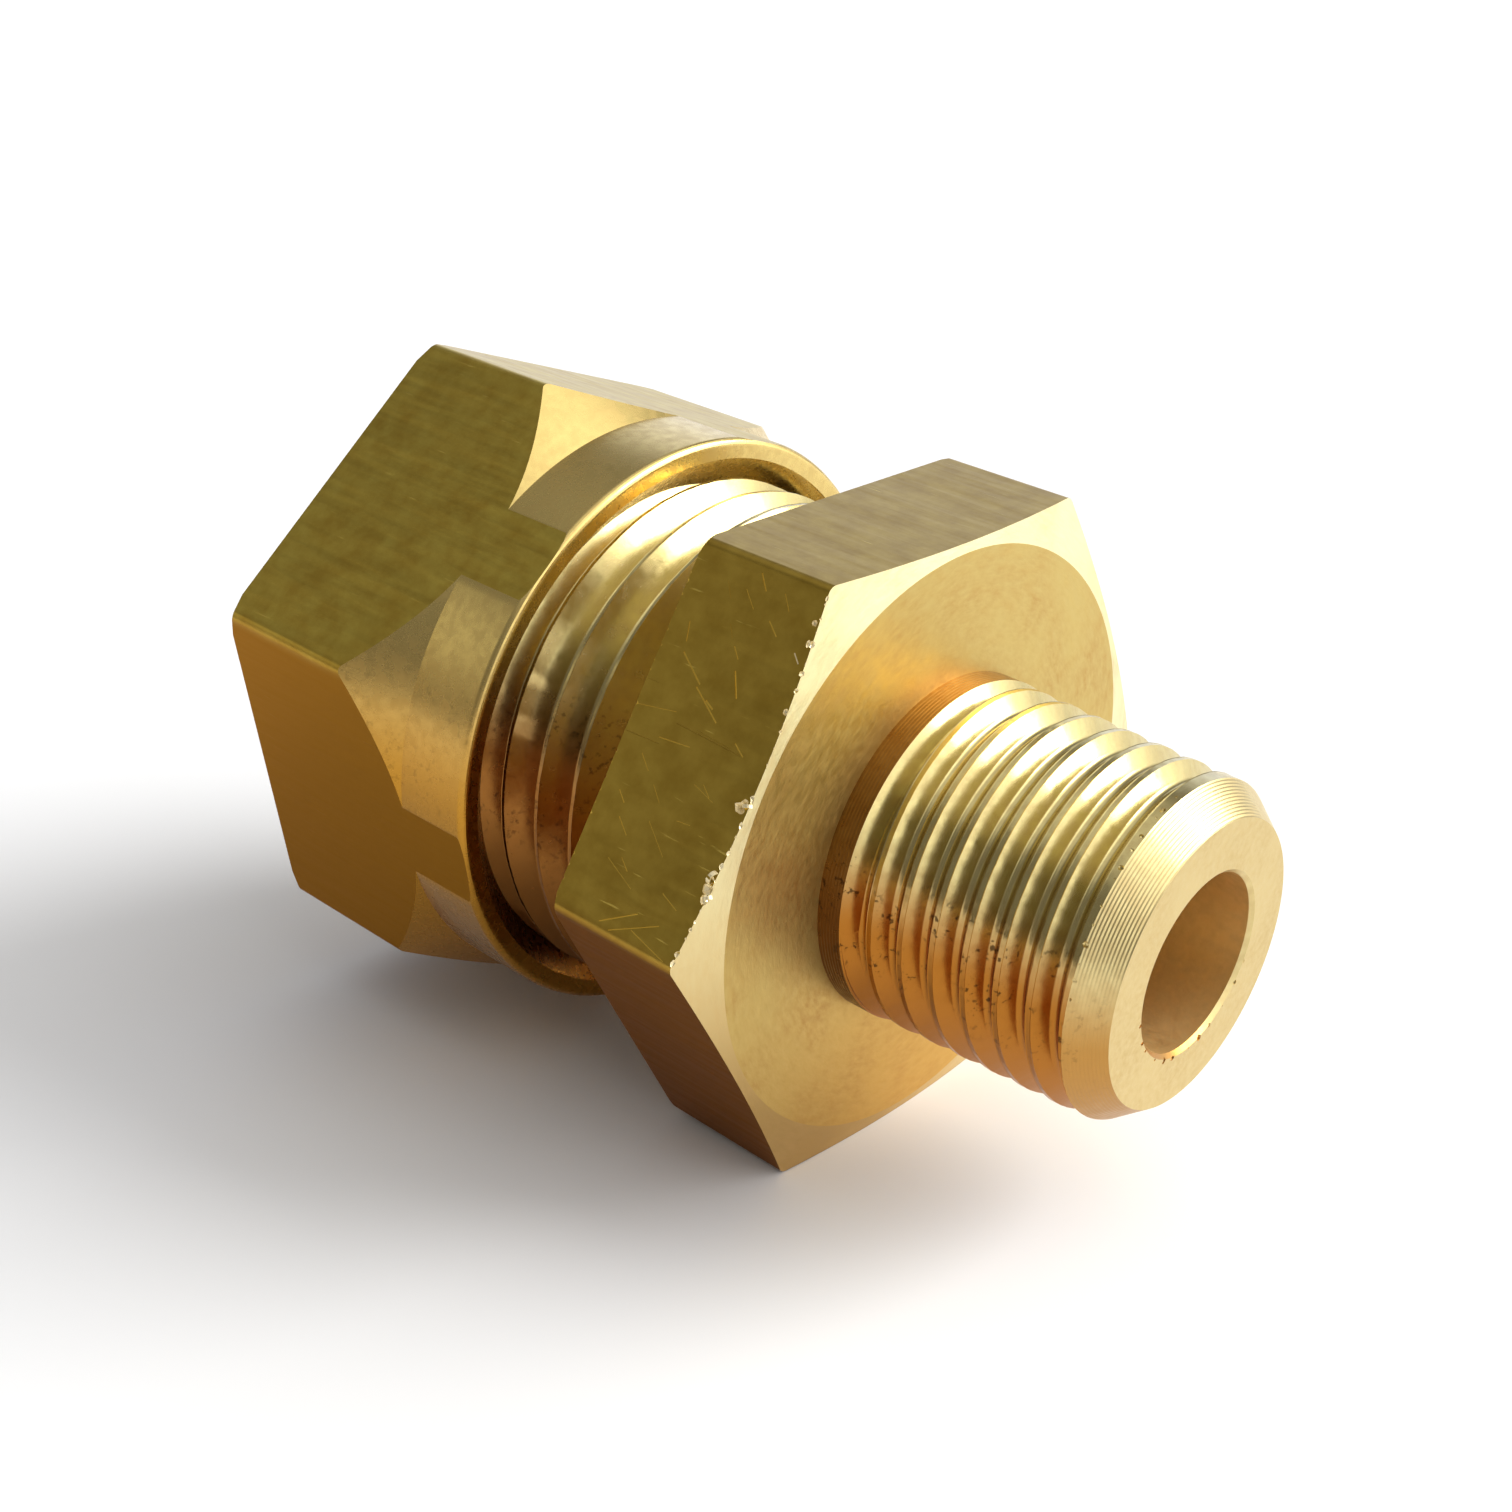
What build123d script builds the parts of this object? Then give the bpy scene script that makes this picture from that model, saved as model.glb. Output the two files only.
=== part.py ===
from build123d import *
import os
from math import cos, radians, tan

# Straight male adaptor for a compression joint on 15 mm tube, in three pieces on one axis:
# the fitting body, the compression nut and the olive that the nut squeezes onto the tube.
# The axis is +X, towards the tapered stem. The origin is on the axis, in the plane of the
# front face of the body's hexagon flange, and the flange has one flat level underneath.
# Threads are drawn as plain blanks at their outside diameter.

# ---------------------------------------------------------------- driving dimensions (mm)
# Hexagon brass bar that the body and the nut are both turned from
nut_flat_wall = 1.45  # nut's threaded bore to the flats, which makes it 24 across flats
hex_arris_radius = 0.4  # rounded long corners of drawn bar
hex_sides = 6
turning_margin = 0.5  # the turned envelopes reach this far outside the bar's corners

# Flange: the hexagon left standing on the body, for the spanner
flange_thickness = 6.2
flange_face_inset = 0.35  # front chamfer starts this far inside the flats
flange_face_angle = 13.0  # front chamfer, from the face, in degrees
flange_back_overhang = 1.6  # back chamfer starts this far outside the flats
flange_back_angle = 30.0

# Stem: R 1/4 taper thread with a plain neck, a coned end and a through bore
stem_length = 11.5
stem_neck_diameter = 13.6
stem_neck_length = 1.1
stem_small_end_diameter = 12.78  # thread's outside diameter at the stem's end plane
stem_taper = 1 / 16  # change of diameter for each unit of length
stem_end_cone_length = 1.2
stem_end_face_diameter = 10.9
stem_bore_diameter = 6.8
stem_bore_edge = 0.15

# Tube that the joint grips, and the room round it
tube_diameter = 15.0
socket_clearance = 0.05  # radial, tube to socket
olive_clearance = 0.10  # radial, tube to olive
nut_hole_clearance = 0.20  # radial, tube to the nut's hole
seat_angle = 30.0  # seats for the olive, from the axis, in degrees

# Spigot: G 1/2 parallel thread that carries the nut, with the tube socket inside it
spigot_wall = 2.9  # tube socket to the thread's outside, which makes the thread a G 1/2
spigot_length = 10.8
spigot_lead_chamfer = 1.1
spigot_relief_width = 1.6
spigot_relief_depth = 1.3
spigot_end_land = 0.45  # flat ring left between the lead chamfer and the seat's mouth
socket_floor = 2.0  # wall left between the tube stop and the flange's front face

# Olive: soft brass ring
olive_length = 6.8
olive_end_wall = 0.35
olive_crown_wall = 1.35
olive_crown_length = 1.5
olive_crown_radius = 0.8

# Nut
nut_hole_length = 2.0
nut_thread_clearance = 0.10  # radial, spigot thread to the nut's bore
nut_seat_stand_out = 1.5  # the seat's mouth is this much larger than the nut's hole, radially
nut_mouth_chamfer = 0.75
nut_collar_stand_out = 0.10  # the collar stands this far proud of the flats
nut_collar_length = 3.45
nut_shoulder_angle = 35.0  # cone between the collar and the hexagon, from the axis
nut_rim_radius = 0.3
nut_back_overhang = 1.4
nut_back_angle = 30.0

# How the nut stands on the spigot at rest
nut_overlap = 4.06  # the nut's mouth reaches this far over the spigot's end
nut_turned = -18.5  # degrees about +X, from the flange's hexagon
olive_to_nut_gap = 0.25  # along the axis
olive_to_body_play = 0.80  # along the axis: what is left before the olive is pinched

# ---------------------------------------------------------------- worked-out places (mm)

socket_radius = tube_diameter / 2 + socket_clearance
olive_radius = tube_diameter / 2 + olive_clearance
nut_hole_radius = tube_diameter / 2 + nut_hole_clearance
stem_bore_radius = stem_bore_diameter / 2
spigot_thread_diameter = 2 * (socket_radius + spigot_wall)
spigot_radius = spigot_thread_diameter / 2
relief_radius = spigot_radius - spigot_relief_depth
spigot_mouth_stand_out = spigot_wall - spigot_lead_chamfer - spigot_end_land
mouth_radius = socket_radius + spigot_mouth_stand_out
olive_end_radius = olive_radius + olive_end_wall
olive_crown_outside = olive_radius + olive_crown_wall
nut_bore_radius = spigot_radius + nut_thread_clearance
nut_seat_radius = nut_hole_radius + nut_seat_stand_out
hex_across_flats = 2 * (nut_bore_radius + nut_flat_wall)
half_flats = hex_across_flats / 2
blank_radius = half_flats / cos(radians(180 / hex_sides)) + turning_margin
nut_collar_radius = half_flats + nut_collar_stand_out


def seat_depth(wide, narrow):
    """Length of a seat's cone between two radii."""
    return (wide - narrow) / tan(radians(seat_angle))


stem_cone_start = stem_length - stem_end_cone_length
stem_cone_radius = (stem_small_end_diameter + stem_taper * stem_end_cone_length) / 2
stem_neck_crest = (stem_small_end_diameter + stem_taper * (stem_length - stem_neck_length)) / 2

flange_back = -flange_thickness
spigot_face = flange_back - spigot_length
relief_edge = flange_back - spigot_relief_width
tube_stop = -socket_floor

# The olive hangs between its two seats, close to the nut's
olive_front = spigot_face + seat_depth(mouth_radius, olive_end_radius) - olive_to_body_play
olive_back = olive_front - olive_length
olive_middle = (olive_front + olive_back) / 2

# The nut follows the olive
nut_seat_touch = olive_back - olive_to_nut_gap
nut_seat_start = nut_seat_touch + seat_depth(nut_seat_radius, olive_end_radius)
nut_seat_end = nut_seat_start - seat_depth(nut_seat_radius, nut_hole_radius)
nut_back = nut_seat_end - nut_hole_length
nut_mouth = spigot_face + nut_overlap
nut_length = nut_mouth - nut_back
nut_thread_length = nut_mouth - nut_seat_start
nut_collar_back = nut_mouth - nut_collar_length


def chamfer_reach(start_radius, angle):
    """Length along the axis of a chamfer that runs out to the blank radius."""
    return (blank_radius - start_radius) * tan(radians(angle))


# ---------------------------------------------------------------- fitting body
with BuildPart() as fitting_body:
    # hexagon flange, with the bar's rounded arrises
    with BuildSketch(Plane.YZ.offset(flange_back)):
        RegularPolygon(radius=half_flats, side_count=hex_sides, major_radius=False)
    extrude(amount=flange_thickness)
    fillet(fitting_body.edges().filter_by(Axis.X), radius=hex_arris_radius)

    # both ends of the hexagon are chamfered on the lathe, which leaves arcs on the flats
    face_edge = half_flats - flange_face_inset
    back_edge = half_flats + flange_back_overhang
    with BuildSketch(Plane.XY):
        with BuildLine():
            Polyline(
                (flange_back, 0),
                (flange_back, back_edge),
                (flange_back + chamfer_reach(back_edge, flange_back_angle), blank_radius),
                (-chamfer_reach(face_edge, flange_face_angle), blank_radius),
                (0, face_edge),
                (0, 0),
                close=True,
            )
        make_face()
    revolve(axis=Axis.X, mode=Mode.INTERSECT)

    # spigot behind the flange: lead chamfer, thread blank and relief
    with BuildSketch(Plane.XY):
        with BuildLine():
            Polyline(
                (spigot_face, 0),
                (spigot_face, spigot_radius - spigot_lead_chamfer),
                (spigot_face + spigot_lead_chamfer, spigot_radius),
                (relief_edge - spigot_relief_depth, spigot_radius),
                (relief_edge, relief_radius),
                (flange_back, relief_radius),
                (flange_back, 0),
                close=True,
            )
        make_face()
    revolve(axis=Axis.X)

    # stem in front of the flange: neck, taper thread blank and coned end
    with BuildSketch(Plane.XY):
        with BuildLine():
            Polyline(
                (0, 0),
                (0, stem_neck_diameter / 2),
                (stem_neck_length, stem_neck_diameter / 2),
                (stem_neck_length, stem_neck_crest),
                (stem_cone_start, stem_cone_radius),
                (stem_length, stem_end_face_diameter / 2),
                (stem_length, 0),
                close=True,
            )
        make_face()
    revolve(axis=Axis.X)

    # bore: olive seat, tube socket with its stop, and the through bore
    with BuildSketch(Plane.XY):
        with BuildLine():
            Polyline(
                (spigot_face, 0),
                (spigot_face, mouth_radius),
                (spigot_face + seat_depth(mouth_radius, socket_radius), socket_radius),
                (tube_stop, socket_radius),
                (tube_stop, stem_bore_radius),
                (stem_length - stem_bore_edge, stem_bore_radius),
                (stem_length, stem_bore_radius + stem_bore_edge),
                (stem_length, 0),
                close=True,
            )
        make_face()
    revolve(axis=Axis.X, mode=Mode.SUBTRACT)

fitting_body.part.label = "fitting_body"

# ---------------------------------------------------------------- olive
with BuildPart() as olive:
    # a ring with a rounded crown and a thin lip at each end
    with BuildSketch(Plane.XY):
        with BuildLine():
            Polyline(
                (olive_back, olive_radius),
                (olive_back, olive_end_radius),
                (olive_middle - olive_crown_length / 2, olive_crown_outside),
                (olive_middle + olive_crown_length / 2, olive_crown_outside),
                (olive_front, olive_end_radius),
                (olive_front, olive_radius),
                close=True,
            )
        make_face()
        fillet(vertices().group_by(Axis.Y)[-1], radius=olive_crown_radius)
    revolve(axis=Axis.X)

olive.part.label = "olive"

# ---------------------------------------------------------------- compression nut
with BuildPart() as compression_nut:
    # hexagon bar, turned round from the flange's hexagon as the nut stands on its thread
    with BuildSketch(Plane.YZ.offset(nut_back)):
        RegularPolygon(
            radius=half_flats, side_count=hex_sides, major_radius=False, rotation=nut_turned
        )
    extrude(amount=nut_length)
    fillet(compression_nut.edges().filter_by(Axis.X), radius=hex_arris_radius)

    # turned outside: back chamfer, conical shoulder, collar and rounded rim
    nut_back_edge = half_flats + nut_back_overhang
    shoulder_reach = (blank_radius - nut_collar_radius) / tan(radians(nut_shoulder_angle))
    with BuildSketch(Plane.XY):
        with BuildLine():
            Polyline(
                (nut_mouth, nut_collar_radius - nut_rim_radius),
                (nut_mouth, 0),
                (nut_back, 0),
                (nut_back, nut_back_edge),
                (nut_back + chamfer_reach(nut_back_edge, nut_back_angle), blank_radius),
                (nut_collar_back - shoulder_reach, blank_radius),
                (nut_collar_back, nut_collar_radius),
                (nut_mouth - nut_rim_radius, nut_collar_radius),
            )
            RadiusArc(
                (nut_mouth - nut_rim_radius, nut_collar_radius),
                (nut_mouth, nut_collar_radius - nut_rim_radius),
                nut_rim_radius,
            )
        make_face()
    revolve(axis=Axis.X, mode=Mode.INTERSECT)

    # inside: mouth chamfer, thread blank, olive seat and the hole for the tube
    with BuildSketch(Plane.XY):
        with BuildLine():
            Polyline(
                (nut_mouth, 0),
                (nut_mouth, nut_bore_radius + nut_mouth_chamfer),
                (nut_mouth - nut_mouth_chamfer, nut_bore_radius),
                (nut_seat_start, nut_bore_radius),
                (nut_seat_start, nut_seat_radius),
                (nut_seat_end, nut_hole_radius),
                (nut_back, nut_hole_radius),
                (nut_back, 0),
                close=True,
            )
        make_face()
    revolve(axis=Axis.X, mode=Mode.SUBTRACT)

compression_nut.part.label = "compression_nut"

# ---------------------------------------------------------------- files
os.makedirs("parts", exist_ok=True)
export_step(fitting_body.part, "parts/fitting_body.step")
export_step(olive.part, "parts/olive.step")
export_step(compression_nut.part, "parts/compression_nut.step")

print("across flats", round(hex_across_flats, 3), "thread", round(spigot_thread_diameter, 3))
print("nut mouth at", round(nut_mouth, 3), "back at", round(nut_back, 3))
print("nut length", round(nut_length, 3), "threaded", round(nut_thread_length, 3))
print("spigot face at", round(spigot_face, 3))
print("olive from", round(olive_back, 3), "to", round(olive_front, 3))
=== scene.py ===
# %% [markdown]
# # A brass compression fitting
# The real object is turned from drawn hexagon bar: a body with two screw threads, and a nut
# that runs on one of them. The CAD model holds the sizes, as plain blanks. Here each piece is
# modelled again with its threads, edges and tool marks, in the same place as its CAD node.
# The axis is X. The stem points to +X, and the flange's front face is at 0.

# %% Load the frame
import math
import random

import bmesh
import bpy
import numpy as np
from mathutils import Matrix, Vector, noise


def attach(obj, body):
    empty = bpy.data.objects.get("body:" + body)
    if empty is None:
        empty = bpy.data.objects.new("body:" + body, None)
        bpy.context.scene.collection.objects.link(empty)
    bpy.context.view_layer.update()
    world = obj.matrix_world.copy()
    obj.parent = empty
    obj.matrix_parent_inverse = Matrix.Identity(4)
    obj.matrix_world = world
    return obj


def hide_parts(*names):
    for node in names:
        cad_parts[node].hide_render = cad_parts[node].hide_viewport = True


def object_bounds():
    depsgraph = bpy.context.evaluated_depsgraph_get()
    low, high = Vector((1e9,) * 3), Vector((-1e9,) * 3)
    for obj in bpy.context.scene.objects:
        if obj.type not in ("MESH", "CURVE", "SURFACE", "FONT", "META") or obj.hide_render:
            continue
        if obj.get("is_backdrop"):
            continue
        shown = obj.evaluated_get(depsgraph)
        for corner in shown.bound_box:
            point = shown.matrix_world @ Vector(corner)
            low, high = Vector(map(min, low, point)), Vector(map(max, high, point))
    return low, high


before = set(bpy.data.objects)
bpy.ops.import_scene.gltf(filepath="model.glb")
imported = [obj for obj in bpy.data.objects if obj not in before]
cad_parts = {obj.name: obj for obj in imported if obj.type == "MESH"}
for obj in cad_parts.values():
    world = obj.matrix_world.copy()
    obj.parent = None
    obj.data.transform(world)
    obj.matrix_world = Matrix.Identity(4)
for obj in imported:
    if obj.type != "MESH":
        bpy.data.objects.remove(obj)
cad_box = [list(corner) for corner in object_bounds()]
MM = 0.001
print("CAD box in mm:", [[round(c / MM, 2) for c in corner] for corner in cad_box])

# %% [markdown]
# ## Working as by hand
# Every operator acts on what is selected, and loading leaves the CAD nodes selected. So each
# piece starts by clearing the selection. Small helpers cover most of the work: one opens a
# piece in edit mode with all of it selected, and one adds a modifier and applies it at once.

# %% Selection and modifier helpers


def pick(piece):
    """Make one piece the only selected and active one."""
    bpy.ops.object.select_all(action="DESELECT")
    piece.select_set(True)
    bpy.context.view_layer.objects.active = piece


def edit(piece):
    """Open a piece in edit mode, all selected."""
    pick(piece)
    bpy.ops.object.mode_set(mode="EDIT")
    bpy.ops.mesh.select_mode(type="VERT")
    bpy.ops.mesh.select_all(action="SELECT")


def done():
    bpy.ops.object.mode_set(mode="OBJECT")


def finish_with(piece, kind, **settings):
    """Add a modifier and apply it."""
    pick(piece)
    modifier = piece.modifiers.new(kind.title(), kind)
    for key, value in settings.items():
        setattr(modifier, key, value)
    bpy.ops.object.modifier_apply(modifier=modifier.name)


# %% [markdown]
# ## Joining and cutting
# The Boolean modifier joins, cuts or intersects two closed shapes. Its exact solver copes with
# faces that touch, but now and then it leaves an edge open. So each result is measured, and
# one that is not closed is thrown away and made again.

# %% Joining and cutting helpers
TRIES = 5
SAME = 1e-6  # metres: corners of a new shape that are nearer than this are one
SLIVER = 1e-7  # metres: the same for the corners that a cut makes


def volume(piece):
    """Volume in cubic millimetres, and how many edges lack their two faces."""
    shape = bmesh.new()
    shape.from_mesh(piece.data)
    cubic = shape.calc_volume(signed=True) / MM**3
    loose = sum(len(edge.link_faces) != 2 for edge in shape.edges)
    shape.free()
    return round(cubic, 1), loose


def combine(piece, tool, operation, tangled=False):
    """Join, cut or intersect two closed shapes, clear slivers and drop the second shape.

    tangled is for a tool whose parts run through each other.
    """
    before, tool_volume = piece.data.copy(), volume(tool)
    for _ in range(TRIES):
        finish_with(
            piece, "BOOLEAN", object=tool, operation=operation, solver="EXACT", use_self=tangled
        )
        uncleaned = piece.data.copy()
        edit(piece)
        bpy.ops.mesh.remove_doubles(threshold=SLIVER)
        bpy.ops.mesh.select_all(action="SELECT")
        bpy.ops.mesh.dissolve_degenerate(threshold=SLIVER)
        done()
        if volume(piece)[1]:
            piece.data = uncleaned
        cubic, loose = volume(piece)
        if cubic > 1 and not loose:
            break
        print("again:", piece.name, cubic, loose)
        piece.data = before.copy()
    print(piece.name, operation.lower(), tool.name, tool_volume, "makes", volume(piece))
    bpy.data.objects.remove(tool)


# %% [markdown]
# ## Turning on the lathe
# A lathe makes a shape from its half outline. Blender's spin does the same: one vertex is
# extruded from point to point round the outline, and the outline is spun about the axis.
# The outline is given as places along the axis and radii, both in millimetres.

# %% Lathe helper
TURNS = 192


def draw_outline(name, points):
    """Draw a line of edges through (along the axis, radius) points."""
    bpy.ops.object.select_all(action="DESELECT")
    bpy.ops.mesh.primitive_plane_add(size=MM)
    piece = bpy.context.object
    piece.name = name
    edit(piece)
    bpy.ops.mesh.merge(type="CENTER")
    along, radius = points[0]
    bpy.ops.transform.translate(value=(along * MM, radius * MM, 0))
    for (x0, r0), (x1, r1) in zip(points, points[1:]):
        step = ((x1 - x0) * MM, (r1 - r0) * MM, 0)
        bpy.ops.mesh.extrude_region_move(TRANSFORM_OT_translate={"value": step})
    return piece


def turned(name, points):
    """A closed shape spun about the X axis from its closed half outline."""
    piece = draw_outline(name, list(points) + [points[0]])
    bpy.ops.mesh.select_all(action="SELECT")
    bpy.ops.mesh.spin(
        steps=TURNS, angle=math.tau, center=(0, 0, 0), axis=(1, 0, 0), use_auto_merge=True
    )
    bpy.ops.mesh.select_all(action="SELECT")
    bpy.ops.mesh.remove_doubles(threshold=SAME)
    bpy.ops.mesh.delete_loose()
    bpy.ops.mesh.select_all(action="SELECT")
    bpy.ops.mesh.normals_make_consistent(inside=False)
    done()
    return piece


# %% [markdown]
# ## Hexagon bar
# Drawn bar has flat sides and slightly rounded long corners, called arrises. A six-sided
# cylinder laid along the axis has the sides, and a bevel of its long edges rounds the arrises.

# %% Hexagon bar helper
ACROSS_FLATS = 24.0
ARRIS = 0.4


def hexagon_bar(name, start, end, turned_by):
    """Hexagon bar along X between two places, turned by an angle in degrees."""
    bpy.ops.object.select_all(action="DESELECT")
    corner = ACROSS_FLATS / 2 / math.cos(math.radians(30))
    bpy.ops.mesh.primitive_cylinder_add(vertices=6, radius=corner * MM, depth=(end - start) * MM)
    piece = bpy.context.object
    piece.name = name
    place = (
        Matrix.Translation(((start + end) / 2 * MM, 0, 0))
        @ Matrix.Rotation(math.radians(turned_by), 4, "X")
        @ Matrix.Rotation(math.radians(90), 4, "Y")
    )
    piece.data.transform(place)
    edit(piece)
    bpy.ops.mesh.select_mode(type="EDGE")
    bpy.ops.mesh.select_all(action="DESELECT")
    done()
    corners = piece.data.vertices
    for edge in piece.data.edges:
        a, b = (corners[i].co for i in edge.vertices)
        edge.select = abs(a.x - b.x) > (end - start) * MM / 2
    pick(piece)
    bpy.ops.object.mode_set(mode="EDIT")
    bpy.ops.mesh.bevel(offset=ARRIS * math.tan(math.radians(30)) * MM, segments=6)
    done()
    return piece


# %% [markdown]
# ## Cutting a screw thread
# A thread is one small outline, one pitch long, that climbs as it goes round. The screw
# modifier does this. The outline has a narrow flat crest, straight flanks at 69 degrees to
# each other and a round root, and each crest edge carries the thin lip that the die leaves.
# Both ends are then cut square, and a tapered thread is drawn in towards its small end.

# %% Thread outline
LEAN = math.radians(34.5)  # from square to the axis to a flank
LIP = 0.012
LIP_SHARE = 0.35  # of half the crest
CREST_DROP = 0.01  # of the crest's edge beside the lip
ROOT_POINTS = 13


def thread_outline(pitch, depth):
    """One pitch of a thread from crest to crest, as (along, drop below the crest)."""
    crest_half = pitch / 4 - depth / 2 * math.tan(LEAN)
    apex = depth / 2 + pitch / 4 / math.tan(LEAN)
    root = (apex - depth) / (1 / math.sin(LEAN) - 1)
    centre = apex - root / math.sin(LEAN)
    sweep = math.pi / 2 - LEAN
    arc = [
        (pitch / 2 + root * math.sin(a), centre + root * math.cos(a))
        for a in np.linspace(-sweep, sweep, ROOT_POINTS)
    ]
    lip = crest_half * LIP_SHARE
    left = [(0, 0), (crest_half - lip, 0), (crest_half - lip / 3, -LIP), (crest_half, CREST_DROP)]
    right = [(pitch - along, drop) for along, drop in reversed(left)]
    return left + arc + right


# %% Torn lips
SLOW_WAVE, QUICK_WAVE = 0.5 * MM, 0.2 * MM
NEAR_CREST = 0.015  # below it, nothing is torn


def torn(place, wear):
    """How far a lip is torn at a place, in millimetres: a slow wave with sharper nicks."""
    slow = noise.noise(place / SLOW_WAVE)
    quick = noise.noise(place / QUICK_WAVE + Vector((9, 9, 9)))
    return wear * (0.5 * slow + 0.5 * quick - 1.6 * max(0, slow - 0.3))


def shape_crests(piece, pitch, crest, wear, last):
    """Tear the lips by wear. Past the crest at last, leave the bar as wide as the crest."""
    for vertex in piece.data.vertices:
        radius = math.hypot(vertex.co.y, vertex.co.z)
        angle = math.atan2(vertex.co.z, vertex.co.y)
        turn = (angle + math.tau / 6) % math.tau / math.tau - 1 / 6
        if last is not None and vertex.co.x > (last + pitch * turn) * MM:
            vertex.co.y = crest * MM * math.cos(angle)
            vertex.co.z = crest * MM * math.sin(angle)
        elif wear and radius > (crest - NEAR_CREST) * MM:
            grown = 1 + torn(vertex.co, wear) * MM / radius
            vertex.co.x += torn(vertex.co.yzx, wear) * MM
            vertex.co.y *= grown
            vertex.co.z *= grown


# %% Ends and taper


def cut_square(piece, start, end):
    """Cut a bar square at two places, and close the cuts."""
    edit(piece)
    bpy.ops.mesh.bisect(
        plane_co=(start * MM, 0, 0), plane_no=(1, 0, 0), clear_inner=True, use_fill=True,
        threshold=SLIVER,
    )
    bpy.ops.mesh.select_all(action="SELECT")
    bpy.ops.mesh.bisect(
        plane_co=(end * MM, 0, 0), plane_no=(1, 0, 0), clear_outer=True, use_fill=True,
        threshold=SLIVER,
    )
    bpy.ops.mesh.select_all(action="SELECT")
    bpy.ops.mesh.normals_make_consistent(inside=False)
    done()


def draw_in(piece, start, taper):
    """Narrow a bar evenly from start on. taper is the width lost for each length."""
    for vertex in piece.data.vertices:
        radius = math.hypot(vertex.co.y, vertex.co.z)
        drawn_in = 1 - taper / 2 * (vertex.co.x / MM - start) * MM / radius
        vertex.co.y *= drawn_in
        vertex.co.z *= drawn_in


# %% Threaded bar


def threaded_bar(
    name, pitch, depth, crest, start, end, crest_at, taper=0.0, steps=160, wear=0.0, last=None
):
    """A closed screw between two places.

    crest is its radius over the crests, and crest_at a crest's place at angle 0.
    """
    first = crest_at - math.ceil((crest_at - start) / pitch + 1) * pitch
    profile = thread_outline(pitch, depth)
    piece = draw_outline(name, [(first + along, crest - drop) for along, drop in profile])
    done()
    rounds = math.ceil((end - first) / pitch) + 1
    finish_with(
        piece, "SCREW", axis="X", angle=math.tau, screw_offset=pitch * MM,
        iterations=rounds, steps=steps, render_steps=steps,
    )
    edit(piece)
    bpy.ops.mesh.remove_doubles(threshold=SAME)
    done()
    shape_crests(piece, pitch, crest, wear, last)
    cut_square(piece, start, end)
    if taper:
        draw_in(piece, start, taper)
    print(name, "turns:", round((end - start) / pitch, 1), "faces:", len(piece.data.polygons))
    return piece


# %% [markdown]
# ## The body
# The body is one turned piece. Its hexagon flange is cut from bar, and the lathe leaves a
# shallow cone on its front that meets the flats in arcs. The stem has a taper thread with a
# plain neck behind it and a cone in front. The spigot behind the flange has a coarser thread.
#
# Each blank is spun with a thin hole on the axis, of its own radius so that no two walls
# coincide, and the bore clears them all. Envelopes are wider than the bar's corners.

# %% Flange
FLANGE_BACK = -6.2
BLANK = 14.4  # radius of an envelope, past the corners
FRONT_FLAT, BACK_FLAT = 11.65, 13.6  # radii where the front cone and the back chamfer start
front_slope = math.tan(math.radians(13))
back_slope = math.tan(math.radians(30))
flange = hexagon_bar("adaptor_body", FLANGE_BACK, 0, 0)
envelope = turned(
    "flange_envelope",
    [
        (FLANGE_BACK, 0.5), (FLANGE_BACK, BACK_FLAT),
        (FLANGE_BACK + (BLANK - BACK_FLAT) * back_slope, BLANK),
        (-(BLANK - FRONT_FLAT) * front_slope, BLANK), (0, FRONT_FLAT), (0, 0.5),
    ],
)
combine(flange, envelope, "INTERSECT")

# %% [markdown]
# ## Knocks and burrs
# The flange was left as it came off the saw and the lathe. Its near flat has scratches, its
# edges are nicked where the cutter tore them, and three curled chips still hang there.
# Bump could draw the scratches, but real cuts also break the outline and catch the light.
# Scratches are thin bars sunk into the flat, and nicks are small balls on its edges. What is
# cut together is first joined into one tool, because each cut of its own would take seconds.

# %% Tools for scratches and nicks
FLAT = Vector((0, math.cos(math.radians(150)), math.sin(math.radians(150))))
ACROSS = Vector((0, 0.5, math.cos(math.radians(30))))
RAISED = 0.18  # of a scratch's width, how far its bar's middle lies above the flat
chance = random.Random(11)
taken = []


def on_near_flat(along, across, height=0.0):
    """A point on the near flat: along the axis, across the flat and above it."""
    return (Vector((along, 0, 0)) + FLAT * (ACROSS_FLATS / 2 + height) + ACROSS * across) * MM


def scratch(start, end, width):
    """A sharp-edged bar, half sunk into the near flat, from one (along, across) to another."""
    a, b = on_near_flat(*start), on_near_flat(*end)
    bpy.ops.mesh.primitive_cylinder_add(
        vertices=4, radius=width / 2 * MM, depth=(b - a).length,
        location=(a + b) / 2 + FLAT * width * RAISED * MM,
        rotation=(b - a).to_track_quat("Z", "Y").to_euler(),
    )
    taken.append(bpy.context.object)


def nick(centre, size):
    """A small lumpy ball, for a knock or a torn place."""
    bpy.ops.mesh.primitive_ico_sphere_add(subdivisions=1, radius=size * MM, location=centre)
    ball = bpy.context.object
    ball.rotation_euler = [chance.uniform(0, math.tau) for _ in range(3)]
    ball.scale = [chance.uniform(0.6, 1.3) for _ in range(3)]
    taken.append(ball)


def cut_all(piece, name, tangled=True):
    """Join what was taken into one tool and cut it out of a piece."""
    bpy.ops.object.select_all(action="DESELECT")
    for shape in taken:
        shape.select_set(True)
    bpy.context.view_layer.objects.active = taken[0]
    bpy.ops.object.join()
    tool = bpy.context.object
    tool.name = name
    bpy.ops.object.transform_apply()
    combine(piece, tool, "DIFFERENCE", tangled)
    taken.clear()


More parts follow.
